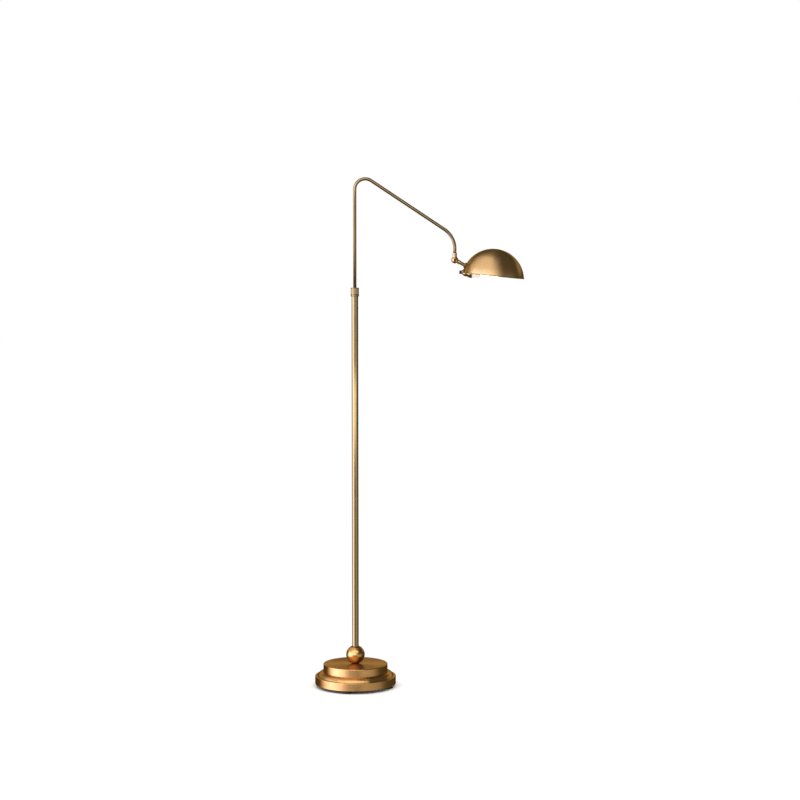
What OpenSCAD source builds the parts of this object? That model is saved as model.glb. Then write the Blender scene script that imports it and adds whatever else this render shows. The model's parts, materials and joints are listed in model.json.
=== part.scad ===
// Swing arm floor lamp: a stepped round base with a ball, a straight pole with a clamping collar,
// a riser that slides and turns in the pole and is bent over into the arm, and a small dome shade
// on a ball-shaped knuckle. Millimetres. The origin is on the pole's axis at the floor, +Z is up,
// and at rest the arm points along +X.

/* [Base] */
// Diameter of the lower disc
base_d = 234; // [210:1:270]
// Height of the lower disc's wall
lower_disc_h = 24.5; // [18:0.5:30]
// Step in from the lower disc's edge to the ovolo moulding
ovolo_step = 6.5; // [2:0.5:10]
// Width of the ovolo
ovolo_w = 16.3; // [14:0.1:20]
// Height of the ovolo above the lower disc
ovolo_h = 11; // [7:0.5:13]
// Height of the upper disc above the ovolo
upper_disc_h = 23.4; // [18:0.2:30]
// Width and depth of the groove at the foot of the upper disc
groove = 1.2; // [0.6:0.1:1.6]
// Rounding of the discs' edges
edge_round = 2; // [1:0.25:3]
// Wall of the spun cover
cover_wall = 1.6; // [1.2:0.1:2]
// Height of the cover's lip above the floor
lip_gap = 7.8; // [5:0.2:9]

/* [Underside] */
// Thickness of the bottom plate
plate_t = 1.5; // [1:0.25:2]
// How far the plate sits above the lip
plate_recess = 0.8; // [0.4:0.1:1.5]
// Diameter of a foot pad
pad_d = 36; // [20:1:38]
// Distance from the base's edge to the middle of a foot pad
pad_inset = 23; // [20:1:36]
// Turn of the foot pads from the front
pad_turn = -16; // [-40:1:25]
// Diameter of the plate screws
plate_screw_d = 4; // [3:0.5:5]
// Radius of the circle of plate screws
plate_screw_ring_r = 70; // [62:1:76]

/* [Weight] */
// Gap between the cover's wall and the weight's lower step
weight_gap = 11.4; // [8:0.2:20]
// Gap between the cover's lower disc and the weight's lower step under it
weight_head_gap = 3.1; // [1:0.1:5]
// Gap between the upper disc's wall and the weight's upper step
weight_step_gap = 7.4; // [5:0.2:20]
// Height of the weight's upper step
weight_step_h = 12; // [10:0.5:16]
// Diameter of the weight's hub
weight_hub_d = 44; // [40:1:60]
// Diameter of the recess for the stem's nut
nut_recess_d = 32; // [29:1:36]
// Depth of the recess for the stem's nut
nut_recess_h = 21.5; // [20.5:0.5:24]
// Width of the channel for the lead
channel_w = 16; // [14.6:0.2:20]
// Height of the channel for the lead
channel_h = 12.5; // [11:0.5:14]

/* [Stem] */
// Outer diameter of the threaded stem
stem_d = 9.7; // [9:0.1:11]
// Bore of the stem
stem_bore_d = 6.8; // [6.6:0.1:7.2]
// Width across the flats of the stem's nut
stem_nut_af = 17; // [15:0.5:19]
// Height of the stem's nut
stem_nut_h = 5.8; // [4:0.2:7]
// Diameter of the stem's washer
stem_washer_d = 26; // [22:0.5:28]
// Thickness of the stem's washer
stem_washer_t = 1.6; // [1:0.1:2]

/* [Pole] */
// Diameter of the ball on the base
ball_d = 54; // [40:1:60]
// Diameter of the ball's flat on the base
ball_seat_d = 15; // [13:0.5:18]
// Diameter of the pole
pole_d = 19; // [17:0.1:22]
// Wall of the pole
pole_wall = 1.2; // [0.9:0.1:1.5]
// Length of the pole
pole_len = 1011; // [700:1:1200]
// Length of the plug in the pole's foot
plug_len = 20; // [14:1:40]

/* [Clutch] */
// Diameter of the clutch flange and nut
clutch_d = 24; // [23.5:0.1:28]
// Height of the clutch flange
flange_h = 4.2; // [3:0.2:6]
// Length of the clutch body's spigot in the pole
clutch_spigot_len = 20; // [12:1:30]
// Diameter of the clutch body's thread
clutch_thread_d = 17; // [16.5:0.1:18]
// Height of the clutch body's thread
clutch_thread_h = 10; // [8:0.5:14]
// Height of the collet ring
collet_h = 6; // [4:0.5:9]
// Height of the clutch nut
clutch_nut_h = 20.6; // [20.6:0.2:28]
// Number of flutes round the clutch nut
flute_count = 36; // [24:1:44]
// Height of the plain band at each end of the clutch nut
nut_band_h = 2.6; // [1.5:0.1:4]

/* [Arm] */
// Diameter of the riser and arm tube
arm_d = 9.5; // [9.5:0.1:10.5]
// Wall of the arm tube
arm_wall = 1; // [0.8:0.05:1.2]
// Length of riser hidden in the pole at rest
riser_hidden = 130; // [110:1:200]
// Height of the upper bend's start above the clutch nut
riser_shown = 279.6; // [270:1:400]
// Centreline radius of the upper bend
top_bend_r = 30; // [24:1:40]
// Slope of the arm below the horizontal
arm_slope = 33.5; // [25:0.5:45]
// Distance from the pole's axis to the arm's end
arm_reach = 285.5; // [250:1:330]
// Centreline radius of the lower bend
low_bend_r = 67; // [50:1:80]
// Length of the straight stretch at the arm's end
arm_tail = 16.6; // [15:0.2:30]
// Height of the ferrule at the arm's end
ferrule_h = 5; // [3:0.5:8]
// Diameter of the ferrule
ferrule_d = 12.4; // [12:0.1:14]
// Height of the glide on the riser's foot
glide_h = 40; // [30:1:50]

/* [Swivel] */
// Length of the bush in the arm's end
swivel_bush_len = 11; // [8:0.5:12]
// Diameter of the hollow spindle in the bush
spindle_d = 5.4; // [5:0.1:5.6]
// Bore of the spindle
spindle_bore_d = 3.4; // [3:0.1:3.6]
// Diameter of the knuckle
knuckle_d = 20; // [19.5:0.5:21]
// Height of the knuckle's cap
knuckle_cap_h = 2.9; // [2.4:0.1:4]
// Wall of the hollow knuckle
knuckle_wall = 3; // [2.4:0.1:3.4]
// Diameter of the knuckle's screw
knuckle_screw_d = 4; // [3.5:0.1:4.4]
// Height of the knuckle's nut
knuckle_nut_h = 4; // [3:0.5:6]

/* [Neck] */
// Diameter of the neck
neck_d = 9.6; // [9.2:0.1:10]
// Bore of the neck
neck_bore_d = 6.4; // [6.2:0.1:6.8]
// Slope of the neck below the rim's plane
neck_drop = 21.7; // [19:0.1:25]
// Distance from the knuckle's centre to the shade
neck_shown = 33.7; // [31:0.1:39]
// Depth of the neck in the cup's boss
neck_spigot_len = 9; // [7:0.5:10]
// Diameter of the saddle washer
saddle_d = 16; // [15:0.5:20]
// Thickness of the saddle washer
saddle_t = 2.4; // [1.6:0.2:3]

/* [Shade] */
// Tilt of the shade at rest, front down
rest_tilt = 6; // [0:0.5:12]
// Outer radius of the shade's sphere
shade_r = 89; // [87:0.5:92]
// Height of the rim above the sphere's centre
rim_up = 13; // [8:0.5:14]
// Wall of the shade
shade_wall = 1; // [0.8:0.1:1.2]
// Radius of the bead along the rim
rim_bead_r = 1.5; // [1.2:0.1:2]

/* [Socket cup] */
// Length of the cup
cup_len = 27; // [26:0.5:32]
// How far the cup's rear stands out of the shade's sphere
cup_proud = 0.7; // [0.4:0.05:1]
// Height of the cup's rear above the sphere's centre
cup_up = 12.7; // [12:0.1:14]
// Rise of the cup's axis towards the front
cup_rise = 6; // [4:0.5:8]
// Radius of the cup's domed rear
cup_rear_r = 12; // [11.8:0.1:12.6]
// Radius of the flat at the cup's rear
cup_flat_r = 5.4; // [5:0.1:6]
// Radius of the cup's mouth
cup_front_r = 16.3; // [16.1:0.1:17]
// Distance from the cup's rear to the end of its flare
cup_flare_len = 22.8; // [21:0.2:24]
// Wall of the cup
cup_wall = 1.3; // [1.1:0.1:1.4]
// Diameter of the boss for the neck
cup_boss_d = 14; // [13:0.5:15]

/* [Lampholder and bulb] */
// Length of the lampholder
holder_len = 30; // [28:0.5:32]
// Distance from the cup's rear to the lampholder
holder_at = 17; // [16:0.2:18]
// Outer diameter of the bulb's cap
bulb_cap_d = 25.4; // [24.4:0.1:25.6]
// Thickness of the screw shell
shell_t = 0.4; // [0.3:0.05:0.5]
// Length of the bulb's cap
bulb_cap_len = 21; // [18:0.5:24]
// Diameter of the bulb's glass
bulb_d = 30; // [27:0.5:32]
// Length of the bulb's glass
bulb_len = 68; // [60:1:84]
// Wall of the bulb's glass
glass_t = 0.9; // [0.7:0.1:1.2]

/* [Switch] */
// Diameter of the switch's body
switch_d = 12; // [11:0.2:12.4]
// Length of the switch's body
switch_len = 13; // [11:0.5:14.5]
// Diameter of the switch's threaded bush
switch_bush_d = 7; // [6:0.2:7.4]
// Height of the switch's ring nut
ring_nut_h = 1.5; // [1:0.1:2.5]
// Width across the flats of the switch's ring nut
ring_nut_af = 11; // [10:0.5:12]
// Diameter of the knob
knob_d = 10; // [9:0.5:12]
// Length of the knob
knob_len = 6.8; // [6:0.2:9]
// Diameter of the switch's shaft
shaft_d = 3; // [2.5:0.1:3.5]

/* [Wiring] */
// Diameter of the lead in the base, pole and arm
lead_d = 6.3; // [5.6:0.1:6.4]
// Diameter of the lead in the neck
neck_lead_d = 5.4; // [4.8:0.1:5.8]
// Diameter of the bore for the supply cord
cord_bore_d = 7.2; // [6:0.1:7.6]
// Length of the cord bush
cord_bush_len = 14; // [10:0.5:16]
// Diameter of the cord bush in the wall
cord_bush_d = 11; // [10.4:0.1:11.4]
// Length of the terminal block
terminal_len = 24; // [20:1:30]
// Distance from the pole's axis to the terminal block
terminal_y = 58; // [50:1:66]

/* [Hidden] */

$fn = 96;
// Radial clearance of a piece that is pressed, glued or screwed into another
fixed_fit = 0.02;
// Radial clearance of a shaft or tube that turns or slides in another
running_fit = 0.05;
// Gap between flat faces that turn on each other
thrust_gap = 0.1;
// Gap between curved faces that pass each other
pass_gap = 0.3;
// Overlap that keeps cutting faces apart
cut = 1;
// Angle by which a bend laps into the straight stretches, and how much thinner it is
bend_lap = 0.1;
bend_step = 0.003;

// Heights of the base
lower_top_z = lip_gap + lower_disc_h;
ovolo_top_z = lower_top_z + ovolo_h;
base_top_z = ovolo_top_z + upper_disc_h;
plate_z = lip_gap + plate_recess;
weight_z = plate_z + plate_t;
weight_step_z = lower_top_z - cover_wall - weight_head_gap;
weight_top_z = weight_step_z + weight_step_h;
washer_z = weight_z + nut_recess_h - stem_washer_t;
stem_nut_z = washer_z - stem_nut_h;
stem_foot_z = stem_nut_z - 1;
plate_screw_len = 10;
plate_screw_head_h = 2.2;

// Radii of the base
base_r = base_d / 2;
ovolo_r = base_r - ovolo_step;
ovolo_in_r = ovolo_r - ovolo_w;
upper_r = ovolo_in_r - groove;
ovolo_arc_r = (ovolo_w * ovolo_w + ovolo_h * ovolo_h) / (2 * ovolo_h);
ovolo_lap = 3;
weight_r = base_r - cover_wall - weight_gap;
weight_step_r = upper_r - cover_wall - weight_step_gap;
pad_ring_r = base_r - pad_inset;

// Ball and pole
ball_r = ball_d / 2;
pole_r = pole_d / 2;
pole_bore_r = pole_r - pole_wall;
ball_rest_r = pole_r + 0.5;
ball_z = base_top_z + sqrt(ball_r * ball_r - ball_seat_d * ball_seat_d / 4);
pole_z = ball_z + sqrt(ball_r * ball_r - ball_rest_r * ball_rest_r);
pole_top_z = pole_z + pole_len;
stem_top_z = pole_z + plug_len - 1;
stem_hole_r = stem_d / 2 + 0.15;

// Clutch
clutch_thread_z = pole_top_z + flange_h;
collet_z = clutch_thread_z + clutch_thread_h;
clutch_nut_z = clutch_thread_z + thrust_gap;
clutch_top_z = clutch_nut_z + clutch_nut_h;
collet_r = clutch_thread_d / 2 - 1;

// Riser and arm
arm_r = arm_d / 2;
arm_bore_r = arm_r - arm_wall;
riser_foot_z = pole_top_z - riser_hidden;
riser_top_z = clutch_top_z + riser_shown;
diag_x = top_bend_r * (1 + sin(arm_slope));
diag_z = riser_top_z + top_bend_r * cos(arm_slope);
diag_len = (arm_reach - diag_x - low_bend_r * (1 - sin(arm_slope))) / cos(arm_slope);
low_bend_z = diag_z - diag_len * sin(arm_slope) - low_bend_r * cos(arm_slope);
arm_end_z = low_bend_z - arm_tail;
foot_ring_h = 2;
stop_ring_h = 4;
glide_z = riser_foot_z + foot_ring_h + thrust_gap;
stop_ring_z = glide_z + glide_h + thrust_gap;

// Swivel and knuckle
bush_flange_h = 1.2;
knuckle_r = knuckle_d / 2;
knuckle_cap_z = knuckle_r + pass_gap;
knuckle_z = arm_end_z - bush_flange_h - thrust_gap - knuckle_cap_h - knuckle_cap_z;
spindle_clip_z = arm_end_z + swivel_bush_len + thrust_gap;
clip_h = 0.8;
half_gap = 0.25;
screw_seat_y = knuckle_r - 2;

// Shade, seen from the knuckle's centre
neck_reach = neck_shown + shade_r;
shade_x = neck_reach * cos(neck_drop);
shade_z = -neck_reach * sin(neck_drop);
rim_r = sqrt(shade_r * shade_r - rim_up * rim_up);
neck_at_inside = neck_shown + shade_wall;
neck_end = neck_at_inside + neck_spigot_len;
neck_start = knuckle_r + 2;
boss_len = 6.4;

// Socket cup, measured along its axis from its rear. Its boss starts at the shade and ends in the
// cup's side, short of the point where the neck's line crosses the cup's axis.
cup_back = sqrt((shade_r + cup_proud) * (shade_r + cup_proud) - cup_up * cup_up);
cup_x = shade_x - cup_back;
cup_z = shade_z + cup_up;
cup_dome_at = sqrt(cup_rear_r * cup_rear_r - cup_flat_r * cup_flat_r);
neck_meets_cup = (cup_up + cup_back * tan(cup_rise)) / (sin(neck_drop) + cos(neck_drop) * tan(cup_rise));
cup_boss_len = shade_r - shade_wall - neck_meets_cup - cup_rear_r / sin(neck_drop + cup_rise);
lug_w = 6;
lug_at = holder_at - lug_w;
holder_screw_r = 1.5;
holder_screw_y = switch_d / 2 + holder_screw_r + 1.1;
holder_r = cup_front_r - cup_wall - fixed_fit;
holder_foot_r = cup_rear_r - cup_wall + 1.6;
holder_step = cup_flare_len + pass_gap - holder_at;
holder_floor = holder_step + 2;
shell_in_r = bulb_cap_d / 2 + 0.1;
shell_out_r = shell_in_r + shell_t;
contact_h = 2;
bulb_contact_at = holder_at + holder_floor + contact_h + 0.1;
bulb_contact_h = 1.4;
bulb_cap_at = bulb_contact_at + bulb_contact_h;
bulb_r = bulb_d / 2;
glass_neck_r = bulb_cap_d / 2 - 0.5;
glass_at = bulb_cap_at + bulb_cap_len - 4;
glass_shoulder = 8;

// Switch, on the cup's axis, its knob behind the cup
switch_at = cup_wall + 0.05;
bush_out = ring_nut_h + 0.2;
knob_at = bush_out + 0.2;
knob_face_t = 2;
knob_flute_r = 0.6;
knob_flute_out = 0.25;
knob_rib_end = 1.2;

// Wiring
lead_r = lead_d / 2;
lead_bend_r = 6;
lead_z = stem_foot_z - lead_bend_r;
cord_z = weight_z + channel_h / 2;
bush_rim_h = 2;
terminal_h = 10;
terminal_w = 13;
terminal_screw_r = 1.5;
terminal_screw_tip = 5;
terminal_z = weight_z + channel_h - terminal_h;

brass = [0.70, 0.52, 0.30];
dark_brass = [0.50, 0.36, 0.18];
steel = [0.62, 0.62, 0.60];
iron = [0.25, 0.25, 0.25];
black = [0.08, 0.08, 0.08];
white = [0.93, 0.92, 0.88];

// A disc's half outline with both outer edges rounded
module disc_outline(r, z0, z1, e) {
    translate([0, z0]) square([r - e, z1 - z0]);
    translate([0, z0 + e]) square([r, z1 - z0 - 2 * e]);
    translate([r - e, z0 + e]) circle(r = e);
    translate([r - e, z1 - e]) circle(r = e);
}

// The ovolo's half outline, drawn in by g on its outer side
module ovolo_outline(g) {
    intersection() {
        translate([ovolo_in_r, ovolo_top_z - ovolo_arc_r]) circle(r = ovolo_arc_r - g);
        translate([ovolo_in_r, lower_top_z - ovolo_lap])
            square([ovolo_w - g, ovolo_h + ovolo_lap]);
    }
    translate([0, lower_top_z - ovolo_lap])
        square([ovolo_in_r, ovolo_h + ovolo_lap - groove - g]);
}

// The cover's half outline
module cover_outline() {
    difference() {
        union() {
            disc_outline(base_r, lip_gap, lower_top_z, edge_round);
            ovolo_outline(0);
            disc_outline(upper_r, lower_top_z, base_top_z, edge_round);
        }
        translate([0, lip_gap - cut])
            square([base_r - cover_wall, lower_disc_h + cut - cover_wall]);
        ovolo_outline(cover_wall);
        translate([0, lower_top_z - 2 * cover_wall])
            square([upper_r - cover_wall, base_top_z - lower_top_z + cover_wall]);
        translate([0, lip_gap]) square([stem_hole_r, base_top_z]);
    }
}

module tube(r_out, r_in, z0, z1) {
    difference() {
        translate([0, 0, z0]) cylinder(r = r_out, h = z1 - z0);
        translate([0, 0, z0 - cut]) cylinder(r = r_in, h = z1 - z0 + 2 * cut);
    }
}

module hex_nut(af, h, hole_r) {
    difference() {
        intersection() {
            cylinder(r = af / sqrt(3), h = h, $fn = 6);
            cylinder(r = af / sqrt(3) - af * 0.02, h = h);
        }
        translate([0, 0, -cut]) cylinder(r = hole_r, h = h + 2 * cut);
    }
}

module base_cover() {
    color(brass)
        difference() {
            rotate_extrude() cover_outline();
            translate([0, base_r - cover_wall - cut, cord_z])
                rotate([-90, 0, 0])
                    cylinder(r = cord_bush_d / 2 + fixed_fit, h = cover_wall + 2 * cut);
        }
}

module base_weight() {
    color(iron)
        difference() {
            union() {
                translate([0, 0, weight_z]) cylinder(r = weight_r, h = weight_step_z - weight_z);
                translate([0, 0, weight_step_z]) cylinder(r = weight_step_r, h = weight_step_h);
                translate([0, 0, weight_top_z])
                    cylinder(d = weight_hub_d, h = base_top_z - cover_wall - weight_top_z);
            }
            translate([0, 0, weight_z - cut])
                cylinder(r = stem_hole_r, h = base_top_z);
            translate([0, 0, weight_z - cut]) cylinder(d = nut_recess_d, h = nut_recess_h + cut);
            translate([-channel_w / 2, 0, weight_z - cut])
                cube([channel_w, base_r, channel_h + cut]);
            at_plate_screws(weight_z - cut)
                cylinder(r = plate_screw_d / 2 + fixed_fit, h = plate_screw_len + cut);
            translate([0, terminal_y + terminal_len / 2, weight_z])
                cylinder(r = terminal_screw_r + fixed_fit, h = channel_h + terminal_screw_tip + cut);
        }
}

module at_plate_screws(z) {
    for (i = [0 : 3])
        rotate([0, 0, pad_turn - 45 + 90 * i])
            translate([plate_screw_ring_r, 0, z])
                children();
}

module bottom_plate() {
    color(black)
        difference() {
            translate([0, 0, plate_z]) cylinder(r = base_r - cover_wall - pass_gap, h = plate_t);
            at_plate_screws(plate_z - cut)
                cylinder(r = plate_screw_d / 2 + 0.2, h = plate_t + 2 * cut);
        }
}

module foot_pads() {
    color(black)
        for (i = [0 : 3])
            rotate([0, 0, pad_turn - 90 + 90 * i])
                translate([pad_ring_r, 0, 0]) {
                    cylinder(d = pad_d, h = plate_z);
                }
}

module plate_screws() {
    color(steel)
        at_plate_screws(plate_z) {
            cylinder(d = plate_screw_d, h = plate_t + plate_screw_len - 0.5);
            difference() {
                translate([0, 0, -plate_screw_head_h])
                    cylinder(d = 2 * plate_screw_d, h = plate_screw_head_h);
                for (a = [0, 90])
                    rotate([0, 0, a])
                        translate([-plate_screw_d / 2, -0.4, -plate_screw_head_h - cut])
                            cube([plate_screw_d, 0.8, cut + 0.9]);
            }
        }
}

// A grommet: a flange outside the cover's wall, another inside it, and a neck between and beyond
module cord_bush() {
    color(black)
        translate([0, base_r, cord_z])
            rotate([-90, 0, 0])
                difference() {
                    union() {
                        translate([0, 0, 0.05 + bush_rim_h - cord_bush_len])
                            cylinder(d = cord_bush_d, h = cord_bush_len - bush_rim_h);
                        translate([0, 0, 0.05]) cylinder(d = cord_bush_d + 3, h = bush_rim_h);
                        translate([0, 0, -cover_wall - pass_gap - bush_rim_h])
                            cylinder(d = cord_bush_d + 1, h = bush_rim_h);
                    }
                    translate([0, 0, -cord_bush_len])
                        cylinder(d = cord_bore_d, h = 2 * cord_bush_len);
                }
}

module terminal_block() {
    color(white)
        difference() {
            translate([-terminal_w / 2, terminal_y, terminal_z])
                cube([terminal_w, terminal_len, terminal_h]);
            translate([0, terminal_y - cut, lead_z])
                rotate([-90, 0, 0]) cylinder(r = lead_r + fixed_fit, h = 5 + cut);
            translate([0, terminal_y + terminal_len / 2, terminal_z - cut])
                cylinder(r = terminal_screw_r + fixed_fit, h = terminal_h + 2 * cut);
            for (x = [-4, 4], y = [6.5, terminal_len - 4])
                translate([x, terminal_y + y, terminal_z - cut]) cylinder(r = 1.6, h = 4 + cut);
        }
}

module terminal_screw() {
    color(steel)
        translate([0, terminal_y + terminal_len / 2, terminal_z]) {
            cylinder(r = terminal_screw_r, h = terminal_h + terminal_screw_tip);
            translate([0, 0, -1.6]) cylinder(r = 2.8, h = 1.6);
        }
}

// The lead comes out of the terminal block, bends up under the stem and rises in it
module base_lead() {
    color(white) {
        translate([0, lead_bend_r, lead_z])
            rotate([-90, 0, 0]) cylinder(r = lead_r, h = terminal_y + 5 - lead_bend_r);
        translate([0, lead_bend_r, lead_z + lead_bend_r])
            rotate([0, 90, 0])
                rotate([0, 0, -90])
                    rotate_extrude(angle = 90) translate([lead_bend_r, 0]) circle(r = lead_r);
        translate([0, 0, lead_z + lead_bend_r])
            cylinder(r = lead_r, h = stem_top_z - lead_z - lead_bend_r);
    }
}

module threaded_stem() {
    color(steel) tube(stem_d / 2, stem_bore_d / 2, stem_foot_z, stem_top_z);
}

module stem_nut() {
    color(steel)
        translate([0, 0, stem_nut_z]) hex_nut(stem_nut_af, stem_nut_h, stem_d / 2 + fixed_fit);
}

module stem_washer() {
    color(steel) tube(stem_washer_d / 2, stem_hole_r, washer_z, washer_z + stem_washer_t);
}

module base_ball() {
    color(brass)
        difference() {
            intersection() {
                translate([0, 0, ball_z]) sphere(r = ball_r);
                translate([0, 0, base_top_z]) cylinder(r = ball_d, h = pole_z - base_top_z);
            }
            translate([0, 0, base_top_z - cut]) cylinder(r = stem_hole_r, h = ball_d);
        }
}

module pole_plug() {
    color(steel)
        tube(pole_bore_r - fixed_fit, stem_d / 2 + fixed_fit, pole_z, pole_z + plug_len);
}

module lower_pole() {
    color(brass) tube(pole_r, pole_bore_r, pole_z, pole_top_z);
}

// The slack lead in the pole, from the stem to the riser's foot
module pole_lead() {
    color(white)
        translate([0, 0, stem_top_z]) cylinder(r = lead_r, h = riser_foot_z - stem_top_z);
}

module clutch_body() {
    color(brass)
        difference() {
            union() {
                translate([0, 0, pole_top_z - clutch_spigot_len])
                    cylinder(r = pole_bore_r - fixed_fit, h = clutch_spigot_len + 1);
                rotate_extrude()
                    disc_outline(clutch_d / 2, pole_top_z, clutch_thread_z, flange_h * 0.35);
                translate([0, 0, clutch_thread_z - cut])
                    cylinder(d = clutch_thread_d, h = clutch_thread_h + cut);
            }
            translate([0, 0, pole_top_z - clutch_spigot_len - cut])
                cylinder(r = arm_r + running_fit, h = clutch_spigot_len + flange_h + clutch_thread_h + 3);
        }
}

module collet_ring() {
    color(white)
        difference() {
            translate([0, 0, collet_z]) cylinder(r1 = collet_r, r2 = collet_r - 1.2, h = collet_h);
            translate([0, 0, collet_z - cut]) cylinder(r = arm_r + running_fit, h = collet_h + 2 * cut);
            translate([0, -0.5, collet_z - cut]) cube([clutch_d, 1, collet_h + 2 * cut]);
        }
}

// Fluted nut that squeezes the collet ring on the riser
module clutch_nut() {
    nut_r = clutch_d / 2 - 0.4;
    color(brass)
        difference() {
            translate([0, 0, clutch_nut_z])
                rotate_extrude() {
                    disc_outline(nut_r, 0, clutch_nut_h, 0.6);
                    translate([nut_r - 0.2, nut_band_h / 2]) circle(r = 0.8);
                    translate([nut_r - 0.2, clutch_nut_h - nut_band_h / 2]) circle(r = 0.8);
                }
            translate([0, 0, clutch_nut_z - cut])
                cylinder(r = clutch_thread_d / 2 + running_fit, h = clutch_thread_h + cut);
            translate([0, 0, clutch_nut_z])
                cylinder(r = collet_r + pass_gap, h = clutch_thread_h + collet_h + 0.6);
            translate([0, 0, clutch_nut_z])
                cylinder(r = arm_r + running_fit, h = clutch_nut_h + cut);
            for (i = [0 : flute_count - 1])
                rotate([0, 0, 360 / flute_count * i])
                    translate([nut_r + 0.25, 0, clutch_nut_z + nut_band_h])
                        cylinder(r = 0.6, h = clutch_nut_h - 2 * nut_band_h, $fn = 24);
        }
}

module riser_glide() {
    color(white)
        tube(pole_bore_r - running_fit, arm_r + running_fit, glide_z, glide_z + glide_h);
}

// A ring or, where r_in is 0, a disc
module ring(r_out, r_in) {
    difference() {
        circle(r = r_out);
        if (r_in > 0) circle(r = r_in);
    }
}

// A straight stretch of tube or rod, with what follows at its end
module straight(len, r_out, r_in) {
    linear_extrude(len) ring(r_out, r_in);
    translate([0, 0, len]) children();
}

// A bend that starts upwards and turns towards +X, lapped into what it joins and a hair thinner
module bend(bend_r, angle, r_out, r_in) {
    translate([bend_r, 0, 0]) {
        rotate([90, 0, 180])
            rotate([0, 0, -bend_lap])
                rotate_extrude(angle = angle + 2 * bend_lap)
                    translate([bend_r, 0])
                        ring(r_out - bend_step, r_in > 0 ? r_in + bend_step : 0);
        rotate([0, angle, 0]) translate([-bend_r, 0, 0]) children();
    }
}

// The riser, the upper bend, the sloping stretch, the lower bend and the tail, shorter by short
module arm_run(r_out, r_in, short) {
    translate([0, 0, riser_foot_z])
        straight(riser_top_z - riser_foot_z, r_out, r_in)
            bend(top_bend_r, 90 + arm_slope, r_out, r_in)
                straight(diag_len, r_out, r_in)
                    bend(low_bend_r, 90 - arm_slope, r_out, r_in)
                        straight(arm_tail - short, r_out, r_in);
}

module arm_tube() {
    color(brass) arm_run(arm_r, arm_bore_r, 0);
}

module riser_foot_ring() {
    color(steel)
        tube(pole_bore_r - 1, arm_r + fixed_fit, riser_foot_z, riser_foot_z + foot_ring_h);
}

module riser_stop_ring() {
    color(steel)
        tube(pole_bore_r - 0.6, arm_r + fixed_fit, stop_ring_z, stop_ring_z + stop_ring_h);
}

// The lead in the arm ends above the spindle
module arm_lead() {
    color(white) arm_run(lead_r, 0, swivel_bush_len + 2.5);
}

module arm_ferrule() {
    color(brass)
        translate([arm_reach, 0, 0])
            difference() {
                rotate_extrude()
                    disc_outline(ferrule_d / 2, arm_end_z, arm_end_z + ferrule_h, 0.8);
                translate([0, 0, arm_end_z - cut])
                    cylinder(r = arm_r + fixed_fit, h = ferrule_h + 2 * cut);
            }
}

module swivel_bush() {
    color(steel)
        translate([arm_reach, 0, 0]) {
            tube(arm_bore_r - fixed_fit, spindle_d / 2 + running_fit,
                 arm_end_z - bush_flange_h, arm_end_z + swivel_bush_len);
            tube(ferrule_d / 2 - 0.6, spindle_d / 2 + running_fit,
                 arm_end_z - bush_flange_h, arm_end_z);
        }
}

// A hollow half ball on the side given by s, its flat face towards the other half
module half_ball(s) {
    intersection() {
        difference() {
            sphere(r = knuckle_r);
            sphere(r = knuckle_r - knuckle_wall);
        }
        translate([-knuckle_r, s > 0 ? half_gap : -half_gap - knuckle_d, -knuckle_r])
            cube([knuckle_d, knuckle_d, knuckle_d]);
    }
    intersection() {
        sphere(r = knuckle_r - 0.5);
        rotate([-90 * s, 0, 0]) translate([0, 0, half_gap])
            cylinder(r = knuckle_screw_d / 2 + 1.4, h = knuckle_r);
    }
}

// The cut for the screw and for the seat of its head or nut, on the side given by s
module half_ball_cuts(s, fit, seat_r) {
    rotate([-90 * s, 0, 0]) {
        cylinder(r = knuckle_screw_d / 2 + fit, h = knuckle_d);
        translate([0, 0, screw_seat_y]) cylinder(r = seat_r, h = knuckle_r);
    }
}

// The knuckle's half towards the front hangs on the spindle and turns in the arm's end
module knuckle_front() {
    color(brass)
        translate([arm_reach, 0, knuckle_z])
            difference() {
                union() {
                    half_ball(-1);
                    intersection() {
                        translate([0, 0, knuckle_r - knuckle_wall])
                            cylinder(r = ferrule_d / 2, h = knuckle_cap_z);
                        translate([-knuckle_r, -half_gap - knuckle_d, 0])
                            cube([knuckle_d, knuckle_d, knuckle_cap_z + 0.5]);
                    }
                    rotate_extrude()
                        disc_outline(ferrule_d / 2, knuckle_cap_z, knuckle_cap_z + knuckle_cap_h, 0.6);
                    translate([0, 0, knuckle_cap_z + 0.5])
                        cylinder(d = spindle_d, h = spindle_top);
                }
                half_ball_cuts(-1, fixed_fit, knuckle_screw_d);
                translate([0, -1.2, 0])
                    cylinder(d = spindle_bore_d - 1, h = knuckle_cap_z + 1);
                translate([0, 0, knuckle_cap_z + 1])
                    cylinder(d = spindle_bore_d, h = spindle_top + cut);
            }
}

// Length of the spindle above the knuckle's cap
spindle_top = spindle_clip_z + clip_h + 0.6 - knuckle_z - knuckle_cap_z - 0.5;

module spindle_clip() {
    color(steel)
        translate([arm_reach, 0, 0])
            tube(arm_bore_r - 0.15, spindle_d / 2 + fixed_fit, spindle_clip_z, spindle_clip_z + clip_h);
}

module friction_washer() {
    color(black)
        translate([arm_reach, 0, knuckle_z])
            rotate([90, 0, 0])
                tube(knuckle_r - 0.4, knuckle_r - knuckle_wall + 0.2, 0.03 - half_gap, half_gap - 0.03);
}

module knuckle_screw() {
    color(dark_brass)
        translate([arm_reach, 0, knuckle_z])
            rotate([90, 0, 0]) {
                translate([0, 0, -screw_seat_y - knuckle_nut_h])
                    cylinder(d = knuckle_screw_d, h = 2 * screw_seat_y + knuckle_nut_h);
                difference() {
                    translate([0, 0, screw_seat_y]) cylinder(r = knuckle_screw_d - 0.4, h = 2.4);
                    translate([-knuckle_d, -0.5, screw_seat_y + 1.2])
                        cube([2 * knuckle_d, 1, 2]);
                }
            }
}

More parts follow.
